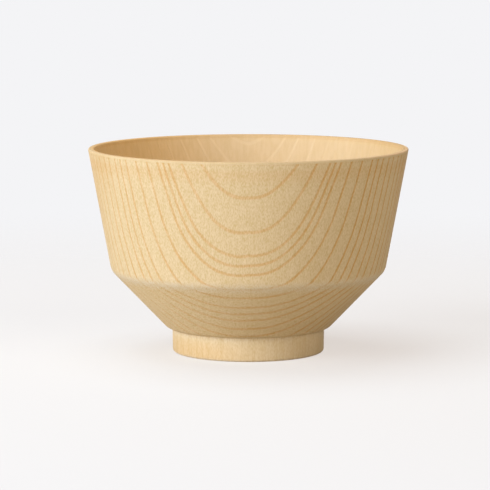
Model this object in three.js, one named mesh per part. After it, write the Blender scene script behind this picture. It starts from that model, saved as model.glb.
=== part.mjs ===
// Soup bowl with an angled waist, standing on a foot ring. Millimetres, +Z up.
// The origin is the middle of the circle that the foot ring stands on.
import * as THREE from "three";

// Outside of the bowl. Heights are above the table.
const rimDiameter = 110;
const bowlHeight = 70.4;
const wallLean = 10.55; // degrees from upright
const shoulderHeight = 28.5; // where wall and waist would meet in a sharp corner
const shoulderRounding = 5.0;

// Foot ring, and the seat that the bowl rests on
const footHeight = 8.3;
const footTopDiameter = 52.4;
const footBottomDiameter = 52.1;
const footWall = 3.6; // at the top
const footBoreFlare = 0.4; // how far the bore opens towards the table
const footOuterRounding = 1.0;
const footInnerRounding = 0.6;
const baseLedge = 1.6; // from the foot's wall out to the corner of waist and base

// Wall of the bowl
const lipThickness = 2.2;
const lipOuterRounding = 0.5;
const lipInnerRounding = 0.8;
const shoulderWall = 4.0; // level with the shoulder
const waistWall = 4.2; // square to the waist
const floorThickness = 4.4;
const innerShoulderRounding = 11;
const floorRounding = 15;

// Bonded joint: a tongue on the foot ring stands in a groove under the bowl
const tongueWidth = 1.4;
const tongueHeight = 1.6;
const bondGap = 0.2; // room for adhesive on each side of the tongue and above it

// Facets
const turnFacets = 72;
const arcDivisions = 3;

// Colours of the wood-grain finish
const bodyColour = 0xdfc090;
const footColour = 0xe2c594;

const rimRadius = rimDiameter / 2;
const footTopRadius = footTopDiameter / 2;
const footBottomRadius = footBottomDiameter / 2;
const tongueMiddleRadius = footTopRadius - footWall / 2;

const point = (radius, height) => new THREE.Vector2(radius, height);
const corner = (at, rounding = 0) => ({ at, rounding });

// Where the line through a1 and a2 meets the line through b1 and b2.
function meet(a1, a2, b1, b2) {
  const along = a2.clone().sub(a1);
  const across = b2.clone().sub(b1);
  const share = b1.clone().sub(a1).cross(across) / along.cross(across);
  return along.multiplyScalar(share).add(a1);
}

// Adds to the path an arc that rounds a corner between its two neighbours.
function addRounding(path, before, at, after, rounding) {
  const back = before.clone().sub(at).normalize();
  const ahead = after.clone().sub(at).normalize();
  const halfAngle = Math.acos(back.dot(ahead)) / 2;
  const reach = rounding / Math.tan(halfAngle);
  const middle = back.clone().add(ahead).setLength(rounding / Math.sin(halfAngle)).add(at);
  const start = back.clone().multiplyScalar(reach).add(at).sub(middle);
  const end = ahead.clone().multiplyScalar(reach).add(at).sub(middle);
  const clockwise = start.cross(end) < 0;
  path.absarc(middle.x, middle.y, rounding, start.angle(), end.angle(), clockwise);
}

// Revolves an outline of corners about +Z. An open outline runs from axis to axis, and a closed one
// comes back to its first corner, which stays sharp.
function revolve(corners, closed = false) {
  const loop = closed ? [...corners, corners[0]] : corners;
  const path = new THREE.Path();
  path.moveTo(loop[0].at.x, loop[0].at.y);
  loop.slice(1, -1).forEach(({ at, rounding }, i) => {
    if (rounding > 0) addRounding(path, loop[i].at, at, loop[i + 2].at, rounding);
    else path.lineTo(at.x, at.y);
  });
  const last = loop[loop.length - 1].at;
  path.lineTo(last.x, last.y);
  return new THREE.LatheGeometry(path.getPoints(arcDivisions), turnFacets).rotateX(Math.PI / 2);
}

function woodGrainFinish(color) {
  return new THREE.MeshStandardMaterial({ color, roughness: 0.55, metalness: 0 });
}

// The bowl itself: floor, waist, wall and lip in one shell, with the groove for the foot underneath.
function bowlBody() {
  const lean = Math.tan(THREE.MathUtils.degToRad(wallLean));
  const rim = point(rimRadius, bowlHeight);
  const shoulder = point(rimRadius - lean * (bowlHeight - shoulderHeight), shoulderHeight);
  const base = point(footTopRadius + baseLedge, footHeight);

  // The base's rounding ends where the foot's wall begins.
  const waistSlope = Math.atan2(shoulder.y - base.y, shoulder.x - base.x);
  const baseRounding = baseLedge / Math.tan(waistSlope / 2);

  // Inside of the shell: the waist keeps one thickness, and the wall thins towards the lip.
  const inward = point(-Math.sin(waistSlope), Math.cos(waistSlope)).multiplyScalar(waistWall);
  const innerWaistLow = base.clone().add(inward);
  const innerWaistHigh = shoulder.clone().add(inward);
  const innerLip = point(rimRadius - lipThickness, bowlHeight);
  const innerWallLow = point(shoulder.x - shoulderWall, shoulderHeight);
  const innerShoulder = meet(innerLip, innerWallLow, innerWaistLow, innerWaistHigh);
  const floorMiddle = point(0, footHeight + floorThickness);
  const floorLevel = point(rimRadius, floorMiddle.y);
  const floorEdge = meet(floorMiddle, floorLevel, innerWaistLow, innerWaistHigh);

  const grooveOuter = tongueMiddleRadius + tongueWidth / 2 + bondGap;
  const grooveInner = tongueMiddleRadius - tongueWidth / 2 - bondGap;
  const grooveTop = footHeight + tongueHeight + bondGap;

  const outline = [
    corner(point(0, footHeight)),
    corner(point(grooveInner, footHeight)),
    corner(point(grooveInner, grooveTop)),
    corner(point(grooveOuter, grooveTop)),
    corner(point(grooveOuter, footHeight)),
    corner(base, baseRounding),
    corner(shoulder, shoulderRounding),
    corner(rim, lipOuterRounding),
    corner(innerLip, lipInnerRounding),
    corner(innerShoulder, innerShoulderRounding),
    corner(floorEdge, floorRounding),
    corner(floorMiddle),
  ];
  const body = new THREE.Mesh(revolve(outline), woodGrainFinish(bodyColour));
  body.name = "bowl_body";
  return body;
}

// The foot: a plain ring with a tongue on top, a little narrower at the table and flared inside.
function footRing() {
  const tongueOuter = tongueMiddleRadius + tongueWidth / 2;
  const tongueInner = tongueMiddleRadius - tongueWidth / 2;
  const tongueTop = footHeight + tongueHeight;
  const boreTop = footTopRadius - footWall;

  const outline = [
    corner(point(footTopRadius, footHeight)),
    corner(point(tongueOuter, footHeight)),
    corner(point(tongueOuter, tongueTop)),
    corner(point(tongueInner, tongueTop)),
    corner(point(tongueInner, footHeight)),
    corner(point(boreTop, footHeight)),
    corner(point(boreTop + footBoreFlare, 0), footInnerRounding),
    corner(point(footBottomRadius, 0), footOuterRounding),
  ];
  const ring = new THREE.Mesh(revolve(outline, true), woodGrainFinish(footColour));
  ring.name = "foot_ring";
  return ring;
}

const soupBowl = new THREE.Group();
soupBowl.add(bowlBody(), footRing());

export default soupBowl;
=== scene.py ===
"""A soup bowl with a wood-grain finish on a ring foot, in metres, +Z up, standing on z = 0."""
import math

import bpy
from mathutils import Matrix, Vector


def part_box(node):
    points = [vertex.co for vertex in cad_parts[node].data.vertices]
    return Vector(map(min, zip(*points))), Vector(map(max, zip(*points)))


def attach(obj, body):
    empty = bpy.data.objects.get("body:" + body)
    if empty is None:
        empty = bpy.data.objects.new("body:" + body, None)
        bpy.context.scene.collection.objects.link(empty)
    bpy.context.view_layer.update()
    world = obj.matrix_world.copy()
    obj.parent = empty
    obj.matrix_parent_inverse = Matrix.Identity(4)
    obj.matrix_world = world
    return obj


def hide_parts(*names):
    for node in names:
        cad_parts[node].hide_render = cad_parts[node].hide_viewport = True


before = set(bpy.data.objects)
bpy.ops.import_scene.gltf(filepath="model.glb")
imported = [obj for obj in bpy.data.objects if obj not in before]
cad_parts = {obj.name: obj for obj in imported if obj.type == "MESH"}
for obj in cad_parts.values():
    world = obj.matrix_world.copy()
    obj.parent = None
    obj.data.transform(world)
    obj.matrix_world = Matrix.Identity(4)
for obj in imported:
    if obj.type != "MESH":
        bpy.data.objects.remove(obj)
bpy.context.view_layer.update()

# The bowl: lip, steep wall, slanting waist, floor and flat base in one moulded shell.
# It is resin under a satin coat with printed wood grain, and its inside follows its outside.
# A groove round the base takes the tongue of the foot.
millimetre = 0.001
bowl_low, bowl_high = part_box("bowl_body")
base_height, rim_height = bowl_low.z, bowl_high.z
rim_radius = 0.055
wall_lean = math.radians(10.55)
shoulder_height = 0.0285
shoulder_rounding = 0.0050
foot_top_radius = 0.0262
base_ledge = 0.0016
lip_thickness = 0.0022
lip_outer_rounding = 0.0005
lip_inner_rounding = 0.0008
shoulder_wall = 0.0040
waist_wall = 0.0042
floor_thickness = 0.0044
inner_shoulder_rounding = 0.011
floor_rounding = 0.015
foot_wall = 0.0036
tongue_width = 0.0014
tongue_height = 0.0016
bond_gap = 0.0002
facets_round = 256
steps_per_arc = 8
longest_step = 0.0024
weld_distance = 0.00001
crease_angle = math.radians(30)


def meeting(start_a, end_a, start_b, end_b):
    """The point where two straight lines of the outline cross."""
    (ax, az), (bx, bz) = start_a, start_b
    run_a = (end_a[0] - ax, end_a[1] - az)
    run_b = (end_b[0] - bx, end_b[1] - bz)
    spread = run_a[0] * run_b[1] - run_a[1] * run_b[0]
    share = ((bx - ax) * run_b[1] - (bz - az) * run_b[0]) / spread
    return ax + share * run_a[0], az + share * run_a[1]


def bowl_outline():
    """Corners of the bowl's half outline, from the middle of its base to the middle of its floor.

    Each corner is (radius, height, rounding, inside).
    """
    shoulder_radius = rim_radius - math.tan(wall_lean) * (rim_height - shoulder_height)
    shoulder = (shoulder_radius, shoulder_height)
    base = (foot_top_radius + base_ledge, base_height)
    waist_slope = math.atan2(shoulder[1] - base[1], shoulder[0] - base[0])
    base_rounding = base_ledge / math.tan(waist_slope / 2)
    inward = (-waist_wall * math.sin(waist_slope), waist_wall * math.cos(waist_slope))
    inner_base = (base[0] + inward[0], base[1] + inward[1])
    inner_waist = (shoulder[0] + inward[0], shoulder[1] + inward[1])
    inner_lip = (rim_radius - lip_thickness, rim_height)
    inner_wall = (shoulder_radius - shoulder_wall, shoulder_height)
    floor_height = base_height + floor_thickness
    inner_shoulder = meeting(inner_lip, inner_wall, inner_base, inner_waist)
    floor_edge = meeting((0, floor_height), (rim_radius, floor_height), inner_base, inner_waist)
    groove_middle = foot_top_radius - foot_wall / 2
    groove_inner = groove_middle - tongue_width / 2 - bond_gap
    groove_outer = groove_middle + tongue_width / 2 + bond_gap
    groove_top = base_height + tongue_height + bond_gap
    return [
        (0, base_height, 0, 0),
        (groove_inner, base_height, 0, 0),
        (groove_inner, groove_top, 0, 0),
        (groove_outer, groove_top, 0, 0),
        (groove_outer, base_height, 0, 0),
        (*base, base_rounding, 0),
        (*shoulder, shoulder_rounding, 0),
        (rim_radius, rim_height, lip_outer_rounding, 0),
        (*inner_lip, lip_inner_rounding, 1),
        (*inner_shoulder, inner_shoulder_rounding, 1),
        (*floor_edge, floor_rounding, 1),
        (0, floor_height, 0, 1),
    ]


def put(tree, value, socket):
    """Links a socket's value, or sets a plain one."""
    if isinstance(value, bpy.types.NodeSocket):
        tree.links.new(value, socket)
    else:
        socket.default_value = value


def add(tree, kind, values=None, **settings):
    """A new node with its settings and its inputs, by name or number."""
    made = tree.nodes.new(kind)
    for name, setting in settings.items():
        setattr(made, name, setting)
    for key, value in (values or {}).items():
        put(tree, value, made.inputs[key])
    return made


def calc(tree, operation, *values):
    """The result of one Math node."""
    return add(tree, "ShaderNodeMath", dict(enumerate(values)), operation=operation).outputs[0]


def whole(tree, operation, *values):
    """The result of one Integer Math node."""
    return add(tree, "FunctionNodeIntegerMath", dict(enumerate(values)), operation=operation).outputs[0]


def vector(tree, operation, *values):
    """The result of one Vector Math node, a vector or a number."""
    made = add(tree, "ShaderNodeVectorMath", dict(enumerate(values)), operation=operation)
    return made.outputs["Value" if operation in ("DOT_PRODUCT", "LENGTH", "DISTANCE") else "Vector"]


def corner_value(tree, name):
    """A number that each corner of the outline carries."""
    return add(tree, "GeometryNodeInputNamedAttribute", {"Name": name}, data_type="FLOAT").outputs[0]


def point_count(tree, line):
    """How many points a line has."""
    size = add(tree, "GeometryNodeAttributeDomainSize", {0: line}, component="CURVE")
    return size.outputs["Point Count"]


def rounded_line(tree, given, index, place):
    """The outline as a line, with its corners rounded and its long runs cut into short steps."""
    points = add(tree, "GeometryNodeMeshToPoints", {"Mesh": given["Outline"]}).outputs[0]
    line = add(tree, "GeometryNodePointsToCurves", {"Points": points, "Weight": index}).outputs[0]
    closing = {"Geometry": line, "Cyclic": given["Closed"]}
    line = add(tree, "GeometryNodeSetSplineCyclic", closing).outputs[0]
    rounding = {"Curve": line, "Count": given["Arc Steps"], "Radius": corner_value(tree, "rounding")}
    line = add(tree, "GeometryNodeFilletCurve", rounding, mode="POLY").outputs[0]
    follower = whole(tree, "MODULO", whole(tree, "ADD", index, 1), point_count(tree, line))
    following = {"Index": follower, "Value": place}
    next_place = add(tree, "GeometryNodeFieldAtIndex", following, data_type="FLOAT_VECTOR").outputs[0]
    stretch = vector(tree, "DISTANCE", place, next_place)
    cuts = calc(tree, "FLOOR", calc(tree, "DIVIDE", stretch, given["Longest Step"]))
    return add(tree, "GeometryNodeSubdivideCurve", {"Curve": line, "Cuts": cuts}).outputs[0]


def turned_grid(tree, given, line, index, place):
    """A grid with one side along the line and the other once round the upright axis, its inside marked."""
    count = point_count(tree, line)
    rows = whole(tree, "ADD", given["Facets"], 1)
    columns = whole(tree, "ADD", count, given["Closed"])
    grid = add(tree, "GeometryNodeMeshGrid", {"Vertices X": columns, "Vertices Y": rows}).outputs["Mesh"]
    along = whole(tree, "MODULO", whole(tree, "DIVIDE_FLOOR", index, rows), count)
    around = whole(tree, "MODULO", index, rows)
    turn = calc(tree, "DIVIDE", calc(tree, "MULTIPLY", around, math.tau), given["Facets"])
    place_there = {"Geometry": line, "Value": place, "Index": along}
    line_place = add(tree, "GeometryNodeSampleIndex", place_there, data_type="FLOAT_VECTOR").outputs[0]
    inside_there = {"Geometry": line, "Value": corner_value(tree, "inside"), "Index": along}
    inside = add(tree, "GeometryNodeSampleIndex", inside_there).outputs[0]
    flat = add(tree, "ShaderNodeSeparateXYZ", {0: line_place}).outputs
    turned = {
        "X": calc(tree, "MULTIPLY", flat["X"], calc(tree, "COSINE", turn)),
        "Y": calc(tree, "MULTIPLY", flat["X"], calc(tree, "SINE", turn)),
        "Z": flat["Z"],
    }
    turned_place = add(tree, "ShaderNodeCombineXYZ", turned).outputs[0]
    skin = add(tree, "GeometryNodeSetPosition", {"Geometry": grid, "Position": turned_place}).outputs[0]
    marking = {"Geometry": skin, "Name": "inside", "Value": inside}
    marked = add(tree, "GeometryNodeStoreNamedAttribute", marking, data_type="FLOAT", domain="POINT")
    return marked.outputs[0]


def turning_tree():
    """Rounds the corners of a half outline and turns it about the upright axis into a closed skin."""
    tree = bpy.data.node_groups.new("turned_about_axis", "GeometryNodeTree")
    for name, kind in (
        ("Outline", "NodeSocketGeometry"),
        ("Facets", "NodeSocketInt"),
        ("Arc Steps", "NodeSocketInt"),
        ("Longest Step", "NodeSocketFloat"),
        ("Closed", "NodeSocketBool"),
        ("Crease", "NodeSocketFloat"),
        ("Finish", "NodeSocketMaterial"),
    ):
        tree.interface.new_socket(name, in_out="INPUT", socket_type=kind)
    tree.interface.new_socket("Skin", in_out="OUTPUT", socket_type="NodeSocketGeometry")
    given = add(tree, "NodeGroupInput").outputs
    index = add(tree, "GeometryNodeInputIndex").outputs[0]
    place = add(tree, "GeometryNodeInputPosition").outputs[0]
    line = rounded_line(tree, given, index, place)
    skin = turned_grid(tree, given, line, index, place)
    welding = {"Geometry": skin, "Distance": weld_distance}
    skin = add(tree, "GeometryNodeMergeByDistance", welding).outputs[0]
    skin = add(tree, "GeometryNodeSetShadeSmooth", {"Geometry": skin}, domain="FACE").outputs[0]
    bend = add(tree, "GeometryNodeInputMeshEdgeAngle").outputs["Unsigned Angle"]
    sharp = calc(tree, "GREATER_THAN", bend, given["Crease"])
    creasing = {"Geometry": skin, "Selection": sharp, "Shade Smooth": False}
    skin = add(tree, "GeometryNodeSetShadeSmooth", creasing, domain="EDGE").outputs[0]
    skin = add(tree, "GeometryNodeRealizeInstances", {"Geometry": skin}).outputs[0]
    coating = {"Geometry": skin, "Material": given["Finish"]}
    skin = add(tree, "GeometryNodeSetMaterial", coating).outputs[0]
    add(tree, "NodeGroupOutput", {"Skin": skin})
    return tree


turned_about_axis = turning_tree()


def turned_piece(name, outline, closed, finish):
    """A piece turned from its outline's corners, as a plain mesh."""
    corners = bpy.data.meshes.new(name + "_outline")
    corners.from_pydata([(radius, 0, height) for radius, height, _, _ in outline], [], [])
    for label, column in (("rounding", 2), ("inside", 3)):
        values = corners.attributes.new(label, "FLOAT", "POINT")
        values.data.foreach_set("value", [corner[column] for corner in outline])
    piece = bpy.data.objects.new(name, corners)
    bpy.context.scene.collection.objects.link(piece)
    turning = piece.modifiers.new("turning", "NODES")
    turning.node_group = turned_about_axis
    sockets = {s.name: s.identifier for s in turned_about_axis.interface.items_tree if s.in_out == "INPUT"}
    turning[sockets["Facets"]] = facets_round
    turning[sockets["Arc Steps"]] = steps_per_arc
    turning[sockets["Longest Step"]] = longest_step
    turning[sockets["Closed"]] = closed
    turning[sockets["Crease"]] = crease_angle
    turning[sockets["Finish"]] = finish
    graph = bpy.context.evaluated_depsgraph_get()
    skin = bpy.data.meshes.new_from_object(piece.evaluated_get(graph))
    piece.modifiers.remove(turning)
    piece.data = skin
    skin.name = name
    bpy.data.meshes.remove(corners)
    return piece


def colour(red, green, blue):
    """A colour given as seen on a screen, 0 to 255, as a shader's linear values."""
    shares = [level / 255 for level in (red, green, blue)]
    return (*[s / 12.92 if s <= 0.04045 else ((s + 0.055) / 1.055) ** 2.4 for s in shares], 1)


def new_group(name, inputs, outputs):
    """An empty shader node group with its named sockets, and its input and output nodes."""
    tree = bpy.data.node_groups.new(name, "ShaderNodeTree")
    for label, kind, start in inputs:
        socket = tree.interface.new_socket(label, in_out="INPUT", socket_type=kind)
        if start is not None:
            socket.default_value = start
    for label, kind in outputs:
        tree.interface.new_socket(label, in_out="OUTPUT", socket_type=kind)
    return tree, add(tree, "NodeGroupInput").outputs, add(tree, "NodeGroupOutput")


def stepped(tree, value, low, high):
    """A soft step from 0 at the value low to 1 at the value high."""
    limits = {"Value": value, "From Min": low, "From Max": high, "To Min": 0.0, "To Max": 1.0}
    return add(tree, "ShaderNodeMapRange", limits, interpolation_type="SMOOTHSTEP").outputs[0]


def product(tree, first, *others):
    """Several values multiplied."""
    for other in others:
        first = calc(tree, "MULTIPLY", first, other)
    return first


def limited(tree, value, least=0.0, most=1.0):
    """A value held between two limits."""
    return add(tree, "ShaderNodeClamp", {"Value": value, "Min": least, "Max": most}).outputs[0]


# The growth sheets of the grain stand upright across the bowl. They sweep forward down to the shoulder,
# turn back on the left, more so lower down, and lean back behind the axis. Where they come out they draw
# the rings, whose depths are millimetres in front of the axis, in the middle of the rim.
sheet_turn = math.radians(1.23)
sheet_sweep_radius = 0.114
sheet_sweep_top = 0.052
back_lean = 0.07
back_lean_start, back_lean_full = -0.01, 0.03
left_turn_per_metre = 1.45
left_turn_height = 0.091
front_rings = [52.8, 50.55, 48.45, 47.4, 46.3, 43.75, 40.7, 37.15, 34.75, 32.35, 29.2, 26.3, 22.6, 19.5]
middle_ring_count = 20
middle_ring_first, middle_ring_step = 16.2, 3.0
middle_ring_sway, middle_ring_beat = 0.8, 2.3
back_rings = [-43.4, -46.4, -49.1, -50.7, -52.3, -53.5, -54.4]
line_width = 0.0006
line_core, line_reach = 0.2, 0.8
line_waver = 0.0004
line_waver_scale = 110.0
line_waver_detail = 1.5
width_evenness = 0.64
least_slope = 0.1
patch_start, patch_full = 0.25, 0.75
patch_least, patch_gain = 0.85, 0.3
crossing_full = 0.8
crossing_least, crossing_gain = 0.55, 0.45
noise_middle = 0.5


def ring_depths():
    """Depths of all rings, from the front of the bowl to its back."""
    middle_rings = [
        middle_ring_first - middle_ring_step * i + middle_ring_sway * math.sin(middle_ring_beat * i)
        for i in range(middle_ring_count)
    ]
    return [ring * millimetre for ring in front_rings + middle_rings + back_rings]


def growth_lines_group():
    """A mask of the growth lines at the surface, and how strongly each stretch of them shows."""
    tree, given, result = new_group(
        "growth_lines",
        [
            ("Position", "NodeSocketVector", None),
            ("Surface Normal", "NodeSocketVector", None),
            ("Line Width", "NodeSocketFloat", line_width),
            ("Waver", "NodeSocketFloat", line_waver),
        ],
        [("Line", "NodeSocketFloat"), ("Strength", "NodeSocketFloat")],
    )
    normal = given["Surface Normal"]
    wavering = {"Vector": given["Position"], "Scale": line_waver_scale, "Detail": line_waver_detail}
    noise = add(tree, "ShaderNodeTexNoise", wavering).outputs
    push = vector(tree, "SUBTRACT", noise["Color"], (noise_middle, noise_middle, noise_middle))
    push = vector(tree, "MULTIPLY", push, given["Waver"])
    lift = vector(tree, "MULTIPLY", normal, vector(tree, "DOT_PRODUCT", push, normal))
    place = vector(tree, "SUBTRACT", vector(tree, "ADD", given["Position"], push), lift)
    place = add(tree, "ShaderNodeSeparateXYZ", {0: place}).outputs

    rise = calc(tree, "SUBTRACT", place["Z"], sheet_sweep_top)
    rise = limited(tree, rise, shoulder_height - sheet_sweep_top, 0.0)
    sweep = product(tree, rise, rise, -0.5 / sheet_sweep_radius)
    behind = stepped(tree, place["Y"], back_lean_start, back_lean_full)
    drop = calc(tree, "SUBTRACT", rim_height, place["Z"])
    leaning = product(tree, drop, behind, back_lean)
    sheet = calc(tree, "SUBTRACT", calc(tree, "SUBTRACT", sweep, place["Y"]), leaning)
    sheet = calc(tree, "MULTIPLY_ADD", place["X"], math.tan(sheet_turn), sheet)
    leftward = calc(tree, "MAXIMUM", calc(tree, "MULTIPLY", place["X"], -left_turn_per_metre), 0.0)
    left_drop = calc(tree, "SUBTRACT", left_turn_height, place["Z"])
    sheet = calc(tree, "MULTIPLY_ADD", leftward, left_drop, sheet)
    nearest = 1.0  # further than any ring
    for depth in ring_depths():
        gap = calc(tree, "ABSOLUTE", calc(tree, "SUBTRACT", sheet, depth))
        nearest = calc(tree, "MINIMUM", gap, nearest)

    tilt = calc(tree, "MULTIPLY", rise, -1 / sheet_sweep_radius)
    tilt = calc(tree, "MULTIPLY_ADD", behind, back_lean, tilt)
    across_sheets = {"X": math.tan(sheet_turn), "Y": -1.0, "Z": tilt}
    across_sheets = add(tree, "ShaderNodeCombineXYZ", across_sheets).outputs[0]
    slope = vector(tree, "LENGTH", vector(tree, "CROSS_PRODUCT", normal, across_sheets))
    spread = calc(tree, "POWER", calc(tree, "MAXIMUM", slope, least_slope), width_evenness)
    distance = calc(tree, "DIVIDE", nearest, spread)
    outer = calc(tree, "MULTIPLY", given["Line Width"], line_reach)
    inner = calc(tree, "MULTIPLY", given["Line Width"], line_core)
    put(tree, stepped(tree, distance, outer, inner), result.inputs["Line"])
    patches = stepped(tree, noise["Fac"], patch_start, patch_full)
    patches = calc(tree, "MULTIPLY_ADD", patches, patch_gain, patch_least)
    crossing = stepped(tree, slope, 0.0, crossing_full)
    crossing = calc(tree, "MULTIPLY_ADD", crossing, crossing_gain, crossing_least)
    put(tree, calc(tree, "MULTIPLY", patches, crossing), result.inputs["Strength"])
    return tree


# Between the growth lines the print has upright fibres: short flecks and long streaks.
fleck_width, fleck_length = 0.00030, 0.0010
streak_width, streak_length = 0.0011, 0.02
fibre_start, fibre_full = 0.3, 0.7


def fibre_flecks_group():
    """Short upright flecks and long upright streaks, each from 0 to 1."""
    tree, given, result = new_group(
        "fibre_flecks",
        [
            ("Position", "NodeSocketVector", None),
            ("Fleck Width", "NodeSocketFloat", fleck_width),
            ("Fleck Length", "NodeSocketFloat", fleck_length),
            ("Streak Width", "NodeSocketFloat", streak_width),
            ("Streak Length", "NodeSocketFloat", streak_length),
        ],
        [("Flecks", "NodeSocketFloat"), ("Streaks", "NodeSocketFloat")],
    )
    for label in ("Fleck", "Streak"):
        narrow = calc(tree, "DIVIDE", 1.0, given[label + " Width"])
        tall = calc(tree, "DIVIDE", 1.0, given[label + " Length"])
        scale = add(tree, "ShaderNodeCombineXYZ", {"X": narrow, "Y": narrow, "Z": tall}).outputs[0]
        fibres = {"Vector": vector(tree, "MULTIPLY", given["Position"], scale), "Scale": 1.0, "Detail": 1.0}
        noise = add(tree, "ShaderNodeTexNoise", fibres).outputs["Fac"]
        put(tree, stepped(tree, noise, fibre_start, fibre_full), result.inputs[label + "s"])
    return tree


growth_lines = growth_lines_group()
fibre_flecks = fibre_flecks_group()


def new_material(name):
    """An empty node material, its tree and its output node."""
    made = bpy.data.materials.new(name)
    made.use_nodes = True
    made.node_tree.nodes.clear()
    return made, made.node_tree, add(made.node_tree, "ShaderNodeOutputMaterial")


def blend_colours(tree, share, first, second, way="MIX"):
    """Two colours mixed by a share from 0 to 1."""
    made = add(tree, "ShaderNodeMix", {0: share, 6: first, 7: second}, data_type="RGBA", blend_type=way)
    return made.outputs[2]


# The print covers the outside up to the lip, warmer just under it. Where the wall faces sideways, its
# colour is darker and warmer as painted shade. Its lines are heavier towards the right, wider but weaker on
# the waist, and fade under paler bands, most of which are painted light. The lip's upward face is darkened
# as painted shade, its right end lightened as painted light, and a thin dark line along the print's top
# edge is painted shade under the lip.
# Inside, the growth lines are grooves without print, drawn pale as a painted highlight, which fade out
# towards the sides.
print_edge_drop = 0.0010
print_edge_width = 0.0004
# The lip's upward face is darkened as painted shade, and its right end lightened as painted light.
lip_facing = 0.6
right_lip_start, right_lip_full = 0.030, 0.056
waist_line_gain = 0.35
waist_line_loss = 0.30
waist_fade = 0.004
right_line_gain = 0.30
waist_right_gain = 0.25
waist_fleck_gain = 0.6
# Where the wall faces sideways, and on its left high up, its colour is darker and warmer, as painted shade.
side_shade_start, side_shade_full = 0.90, 0.965
side_shade_low, side_shade_high = 0.030, 0.056
left_shade_start, left_shade_full = -0.80, -0.90
left_shade_low, left_shade_high = 0.050, 0.066
# Inside, the growth grooves are drawn pale as a painted highlight.
groove_highlight_strength = 0.24
inside_line_start, inside_line_end = 0.020, 0.033
inside_fleck_share = 0.12
lip_fleck_share = 0.3
fleck_over_line = 0.15
groove_depth_outside = 0.03  # millimetres, as the next two are
groove_depth_inside = 0.05
fleck_height = 0.004
fleck_roughness = 0.08
satin_roughness = 0.56
satin_ior = 1.45
satin_specular = 0.03
middle_tone = 0.5


def finish_masks(tree, place, facing, look):
    """Masks from 0 to 1 for the parts of a piece on which the finish differs, some of them for painted
    light and shade.
    """
    across, height = place["X"], place["Z"]
    inside = add(tree, "ShaderNodeAttribute", attribute_name="inside").outputs["Fac"]
    outside = calc(tree, "SUBTRACT", 1.0, inside)
    print_edge_height = rim_height - print_edge_drop
    below_lip = stepped(tree, height, print_edge_height + print_edge_width, print_edge_height)
    above_edge = stepped(tree, height, print_edge_height - print_edge_width, print_edge_height)
    # Masks for the painted shade on the lip's upward face and the painted light at its right end.
    painted_lip_shade = product(tree, above_edge, stepped(tree, facing["Z"], 0.0, lip_facing))
    right = stepped(tree, across, right_lip_start, right_lip_full)
    warm = product(tree, stepped(tree, height, *look["warm_below"]), outside)
    warm = product(tree, warm, stepped(tree, height, *look["warm_above"]))
    warm = product(tree, warm, stepped(tree, across, *look["warm_sides"]))
    # Painted shade where the outside faces sideways.
    painted_side_shade = stepped(tree, calc(tree, "ABSOLUTE", facing["X"]), side_shade_start, side_shade_full)
    painted_side_shade = product(tree, painted_side_shade, stepped(tree, height, side_shade_low, side_shade_high))
    left = stepped(tree, facing["X"], left_shade_start, left_shade_full)
    left = product(tree, left, stepped(tree, height, left_shade_low, left_shade_high))
    middle = stepped(tree, calc(tree, "ABSOLUTE", across), inside_line_end, inside_line_start)
    return {
        "inside": inside,
        "outside": outside,
        "below_lip": below_lip,
        "painted_print_edge_shade": product(tree, below_lip, above_edge, outside),
        "painted_lip_shade": painted_lip_shade,
        "painted_right_lip_light": product(tree, painted_lip_shade, right, outside),
        "warm": warm,
        "waist": stepped(tree, height, shoulder_height, shoulder_height - waist_fade),
        "painted_side_shade": product(tree, calc(tree, "MAXIMUM", painted_side_shade, left), outside),
        "inside_middle": product(tree, middle, inside),
    }


def fibre_tones(tree, spot, masks, look):
    """The flecks, about 0, and the tone that flecks and streaks give the wood, from dark 0 to light 1."""
    fibres = add(tree, "ShaderNodeGroup", {"Position": spot}, node_tree=fibre_flecks).outputs
    fleck = calc(tree, "SUBTRACT", fibres["Flecks"], noise_middle)
    for mask, gain, start in (
        ("outside", 1 - inside_fleck_share, inside_fleck_share),
        ("below_lip", 1 - lip_fleck_share, lip_fleck_share),
        ("waist", waist_fleck_gain, 1.0),
    ):
        fleck = product(tree, fleck, calc(tree, "MULTIPLY_ADD", masks[mask], gain, start))
    streak = calc(tree, "SUBTRACT", fibres["Streaks"], noise_middle)
    tone = calc(tree, "MULTIPLY_ADD", fleck, look["fleck_strength"], middle_tone)
    tone = calc(tree, "MULTIPLY_ADD", streak, look["streak_strength"], tone)
    return fleck, limited(tree, tone)


def printed_lines(tree, line, strength, fleck, across, masks, look):
    """How much of the line colour is printed, from 0 to 1, with a thin line of painted shade along the
    print's top edge.
    """
    shown = calc(tree, "MULTIPLY_ADD", fleck, -fleck_over_line, strength)
    waist_change = calc(tree, "MULTIPLY_ADD", across, waist_right_gain / rim_radius, -waist_line_loss)
    shown = calc(tree, "MULTIPLY_ADD", masks["waist"], waist_change, shown)
    shown = calc(tree, "MULTIPLY_ADD", across, right_line_gain / rim_radius, shown)
    printed = product(tree, line, shown, look["line_strength"], masks["outside"])
    # A thin dark line along the print's top edge, painted shade under the lip.
    printed = calc(tree, "MULTIPLY_ADD", masks["painted_print_edge_shade"], look["painted_edge_shade_strength"], printed)
    return limited(tree, printed)


def tinted_wood(tree, tone, groove_highlight_share, place, masks, look):
    """The wood's colour under the lines, with the tint of each part of the piece; some tints are painted
    light and shade, and the inside grooves a painted highlight.
    """
    wood = blend_colours(tree, tone, look["dark"], look["light"])
    wood = blend_colours(tree, groove_highlight_share, wood, look["painted_groove_highlight"])
    wood = blend_colours(tree, masks["inside"], wood, look["inside"], "MULTIPLY")
    # The inside tints paint light and shade on its left and right, and warm a band under the rim.
    for axis, start, full, tint in look["inside_painted_light_and_rim_tint"]:
        share = product(tree, stepped(tree, place[axis], start, full), masks["inside"])
        wood = blend_colours(tree, share, wood, tint, "MULTIPLY")
    for part in ("painted_lip_shade", "painted_right_lip_light", "warm", "painted_side_shade"):
        wood = blend_colours(tree, masks[part], wood, look[part], "MULTIPLY")
    return wood


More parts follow.
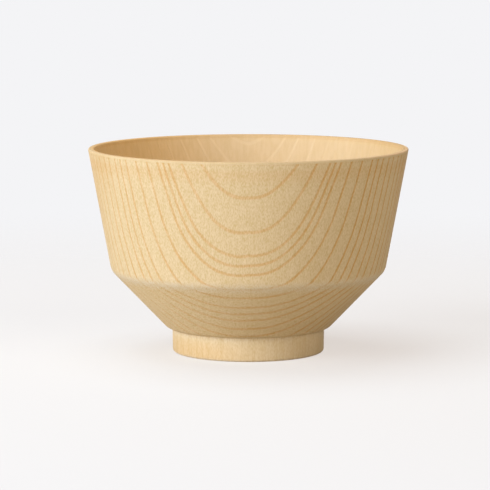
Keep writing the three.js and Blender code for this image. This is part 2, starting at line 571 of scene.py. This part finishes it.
def wood_grain_finish(name, look):
    """The satin coat with its printed grain: growth lines, flecks and streaks, with painted light and
    shade.
    """
    made, tree, output = new_material(name)
    spot = add(tree, "ShaderNodeTexCoord").outputs
    place = add(tree, "ShaderNodeSeparateXYZ", {0: spot["Object"]}).outputs
    facing = add(tree, "ShaderNodeSeparateXYZ", {0: spot["Normal"]}).outputs
    masks = finish_masks(tree, place, facing, look)
    fleck, tone = fibre_tones(tree, spot["Object"], masks, look)

    width = calc(tree, "MULTIPLY_ADD", masks["waist"], waist_line_gain * line_width, line_width)
    ringed = {"Position": spot["Object"], "Surface Normal": spot["Normal"], "Line Width": width}
    rings = add(tree, "ShaderNodeGroup", ringed, node_tree=growth_lines).outputs
    strength = rings["Strength"]
    line = product(tree, rings["Line"], masks["below_lip"])
    printed = printed_lines(tree, line, strength, fleck, place["X"], masks, look)
    # The pale inside grooves are a painted highlight.
    groove_highlight_share = product(tree, line, strength, masks["inside_middle"], groove_highlight_strength)

    wood = tinted_wood(tree, tone, groove_highlight_share, place, masks, look)
    paleness = calc(tree, "DIVIDE", tone, middle_tone)
    # Each paler band blends the wood towards a paler colour and fades the lines under it; most of them
    # paint light.
    for pale_band_height, pale_band_reach, pale_band_share in look["pale_bands_and_painted_light"]:
        pale_band_drop = calc(tree, "ABSOLUTE", calc(tree, "SUBTRACT", place["Z"], pale_band_height))
        pale_band_mix = product(tree, stepped(tree, pale_band_drop, pale_band_reach, 0.0), masks["outside"], pale_band_share)
        wood = blend_colours(tree, product(tree, pale_band_mix, paleness), wood, look["pale_band_colour"])
        printed = product(tree, printed, calc(tree, "SUBTRACT", 1.0, pale_band_mix))
    wood = blend_colours(tree, printed, wood, look["line"], "MULTIPLY")

    roughness = calc(tree, "MULTIPLY_ADD", fleck, fleck_roughness, satin_roughness)
    deeper_inside = groove_depth_inside - groove_depth_outside
    groove_depth = calc(tree, "MULTIPLY_ADD", masks["inside"], deeper_inside, groove_depth_outside)
    groove = product(tree, line, groove_depth, -1.0)
    relief = calc(tree, "MULTIPLY_ADD", fleck, fleck_height, groove)
    raised = {"Height": relief, "Strength": 1.0, "Distance": millimetre}
    satin = {
        "Base Color": wood,
        "Roughness": roughness,
        "Normal": add(tree, "ShaderNodeBump", raised).outputs[0],
        "IOR": satin_ior,
        "Specular IOR Level": satin_specular,
    }
    coat = add(tree, "ShaderNodeBsdfPrincipled", satin).outputs[0]
    put(tree, coat, output.inputs["Surface"])
    return made


# Tints are factors on the wood's colour. An inside tint is (axis, start, full, tint), each limit of the
# warm band is (start, full), and a paler band is (height, reach, share). The first two inside tints are
# painted
# light and shade: the left of the inside warmer and lighter as painted bounce light, its right darker as
# painted shade; the third warms a band just under the rim. The lip and side tints are painted shade, the
# right lip tint painted light.
bowl_look = {
    "light": colour(230, 213, 184),
    "dark": colour(210, 189, 143),
    "line": (0.90, 0.69, 0.45, 1),
    # Colour of the painted highlight on the inside grooves.
    "painted_groove_highlight": colour(246, 232, 206),
    "inside": (1.005, 0.965, 0.94, 1),
    "inside_painted_light_and_rim_tint": [
        # Painted bounce light on the left of the inside, painted shade on its right, and a warmer band
        # under the rim.
        ("X", 0.0, -0.046, (1.16, 1.05, 0.85, 1)),
        ("X", 0.034, 0.050, (0.945, 0.905, 0.82, 1)),
        ("Z", rim_height - 0.0025, rim_height - 0.0008, (1.0, 0.975, 0.925, 1)),
    ],
    "pale_band_colour": colour(226, 215, 196),
    # Painted shade on the lip's upward face, and painted light at the lip's right end.
    "painted_lip_shade": (0.88, 0.815, 0.75, 1),
    "painted_right_lip_light": (1.26, 1.16, 1.15, 1),
    "warm": (0.985, 0.945, 0.90, 1),
    "warm_below": (rim_height - 0.0020, rim_height - 0.0035),
    "warm_above": (rim_height - 0.0085, rim_height - 0.0045),
    "warm_sides": (0.2, 0.1),  # all round
    # Painted shade where the wall faces sideways.
    "painted_side_shade": (0.975, 0.925, 0.86, 1),
    "line_strength": 0.82,
    # Strength of the thin dark line of painted shade along the print's top edge.
    "painted_edge_shade_strength": 0.12,
    "fleck_strength": 0.70,
    "streak_strength": 0.2,
    # Paler bands: a painted sheen on the shoulder, a broad faint one over the waist, and painted light at
    # the base, lifting the shade where the waist meets the foot.
    "pale_bands_and_painted_light": [
        (shoulder_height - 0.0009, 0.0027, 0.70),
        (0.0195, 0.012, 0.12),
        (base_height, 0.0022, 0.25),
    ],
}
bowl_finish = wood_grain_finish("bowl_wood_grain", bowl_look)
bowl = turned_piece("grained_bowl", bowl_outline(), False, bowl_finish)
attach(bowl, "root")
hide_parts("bowl_body")

# The foot: a short ring of the same grained resin that carries the bowl.
# It is moulded by itself, and the tongue on its top is bonded into the groove of the base.
foot_bottom_radius = 0.02605
foot_bore_flare = 0.0004
foot_outer_rounding = 0.0010
foot_inner_rounding = 0.0006


def foot_outline():
    """Corners of the foot's closed section as (radius, height, rounding, inside)."""
    bore = foot_top_radius - foot_wall
    tongue_middle = foot_top_radius - foot_wall / 2
    tongue_inner = tongue_middle - tongue_width / 2
    tongue_outer = tongue_middle + tongue_width / 2
    tongue_top = base_height + tongue_height
    return [
        (foot_bottom_radius, 0, foot_outer_rounding, 0),
        (foot_top_radius, base_height, 0, 0),
        (tongue_outer, base_height, 0, 0),
        (tongue_outer, tongue_top, 0, 0),
        (tongue_inner, tongue_top, 0, 0),
        (tongue_inner, base_height, 0, 0),
        (bore, base_height, 0, 0),
        (bore + foot_bore_flare, 0, foot_inner_rounding, 0),
    ]


foot_look = bowl_look | {
    "light": colour(233, 218, 190),
    "dark": colour(219, 199, 157),
    "line": (0.94, 0.86, 0.74, 1),
    "pale_band_colour": colour(240, 228, 206),
    "warm": (0.99, 0.90, 0.78, 1),
    "warm_below": (base_height + 0.001, 0.0030),
    "warm_above": (-0.002, -0.001),  # down to the table
    "warm_sides": (0.010, -0.022),
    "line_strength": 0.15,
    "fleck_strength": 0.4,
    "streak_strength": 0.35,
    # Paler bands, painted light: at the foot's top, lifting the shade under the base, and along its bottom
    # edge, lifting the shade where it meets the table.
    "pale_bands_and_painted_light": [(base_height, 0.0025, 0.4), (0.0, 0.0010, 1.0)],
}
foot_finish = wood_grain_finish("foot_wood_grain", foot_look)
foot = turned_piece("grained_foot", foot_outline(), True, foot_finish)
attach(foot, "root")
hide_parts("foot_ring")

# The floor: a plain pale table top that fades into the background.
# It is matt, and its underside lets the view through.
floor_radius = 1.6
floor_corners = 96
floor_fade_start = 0.12
floor_fade_end = 0.45
floor_bounce = (0.60, 0.52, 0.39, 1)
floor_lit = (0.243, 0.282, 0.316, 1)
floor_glow = (0.671, 0.619, 0.587, 1)


def seen_directly(tree):
    """1 for the camera's own view, also in a reflection or through glass, and 0 for light that bounces."""
    ray = add(tree, "ShaderNodeLightPath").outputs
    by_gloss = calc(tree, "MAXIMUM", ray["Is Glossy Ray"], ray["Is Transmission Ray"])
    return calc(tree, "MAXIMUM", ray["Is Camera Ray"], by_gloss)


def floor_finish():
    """Matt and pale, seen brighter than the light that it throws back up."""
    made, tree, output = new_material("pale_floor")
    seen = seen_directly(tree)
    paint = blend_colours(tree, seen, floor_bounce, floor_lit)
    matt = add(tree, "ShaderNodeBsdfDiffuse", {"Color": paint}).outputs[0]
    glow = add(tree, "ShaderNodeEmission", {"Color": floor_glow, "Strength": seen}).outputs[0]
    matt = add(tree, "ShaderNodeAddShader", {0: matt, 1: glow}).outputs[0]
    clear = add(tree, "ShaderNodeBsdfTransparent").outputs[0]
    reach = vector(tree, "LENGTH", add(tree, "ShaderNodeTexCoord").outputs["Object"])
    fade = stepped(tree, reach, floor_fade_start, floor_fade_end)
    below = add(tree, "ShaderNodeNewGeometry").outputs["Backfacing"]
    see_through = calc(tree, "MAXIMUM", below, calc(tree, "MULTIPLY", fade, seen))
    mixed = add(tree, "ShaderNodeMixShader", {0: see_through, 1: matt, 2: clear}).outputs[0]
    put(tree, mixed, output.inputs["Surface"])
    return made


floor_turns = [math.tau * i / floor_corners for i in range(floor_corners)]
floor_rim = [(floor_radius * math.cos(turn), floor_radius * math.sin(turn), 0) for turn in floor_turns]
floor_mesh = bpy.data.meshes.new("floor")
floor_mesh.from_pydata(floor_rim, [], [range(floor_corners)])
floor_mesh.materials.append(floor_finish())
floor = bpy.data.objects.new("floor", floor_mesh)
bpy.context.scene.collection.objects.link(floor)

# The light: a large soft plain lamp at the front left, a weaker warm one at the front right, and a plain
# one overhead towards the back left. The room around them is dim, and is seen as a pale wall.
middle_height = rim_height / 2
room_level = 0.02
key_colour = (1.0, 1.0, 1.0)
fill_colour = (1.17, 1.0, 0.82)
background = colour(244, 244, 246)


def soft_lamp(name, tint, azimuth, elevation, distance, size, watts):
    """A square area lamp that faces the bowl, from degrees left of the front and above the floor."""
    lamp = bpy.data.lights.new(name, "AREA")
    lamp.color = tint
    lamp.shape = "SQUARE"
    lamp.size = size
    lamp.energy = watts
    turn, rise = math.radians(azimuth), math.radians(elevation)
    made = bpy.data.objects.new(name, lamp)
    made.location = (
        -distance * math.sin(turn) * math.cos(rise),
        -distance * math.cos(turn) * math.cos(rise),
        middle_height + distance * math.sin(rise),
    )
    made.rotation_euler = (math.pi / 2 - rise, 0, -turn)
    made.visible_camera = False
    bpy.context.scene.collection.objects.link(made)


soft_lamp("key_lamp", key_colour, azimuth=54, elevation=22, distance=1.2, size=0.9, watts=14.8)
soft_lamp("right_lamp", fill_colour, azimuth=-40, elevation=24, distance=1.4, size=1.1, watts=6.2)
soft_lamp("top_lamp", key_colour, azimuth=120, elevation=75, distance=1.2, size=0.9, watts=9.6)
world = bpy.data.worlds.new("room")
bpy.context.scene.world = world
world.use_nodes = True
room = world.node_tree
room.nodes.clear()
dim_room = {"Color": (*fill_colour, 1), "Strength": room_level}
even_light = add(room, "ShaderNodeBackground", dim_room).outputs[0]
pale_wall = add(room, "ShaderNodeBackground", {"Color": background, "Strength": 1.0}).outputs[0]
views = {0: seen_directly(room), 1: even_light, 2: pale_wall}
mixed = add(room, "ShaderNodeMixShader", views).outputs[0]
add(room, "ShaderNodeOutputWorld", {"Surface": mixed})

# The camera: a long lens a metre in front of the bowl, looking a little down at it.
# Its lens and its place give the bowl its size and its place in the picture.
look_down = math.radians(7.01)
camera_place = (-0.00115, -1.0142, 0.1614)
lens_length, sensor_width = 217.9, 36
nearest_view, farthest_view = 0.05, 20
camera_data = bpy.data.cameras.new("camera")
camera_data.lens = lens_length
camera_data.sensor_width = sensor_width
camera_data.clip_start = nearest_view
camera_data.clip_end = farthest_view
camera = bpy.data.objects.new("camera", camera_data)
camera.location = camera_place
camera.rotation_euler = (math.pi / 2 - look_down, 0, 0)
bpy.context.scene.collection.objects.link(camera)
bpy.context.scene.camera = camera
bpy.context.scene.view_settings.view_transform = "Standard"
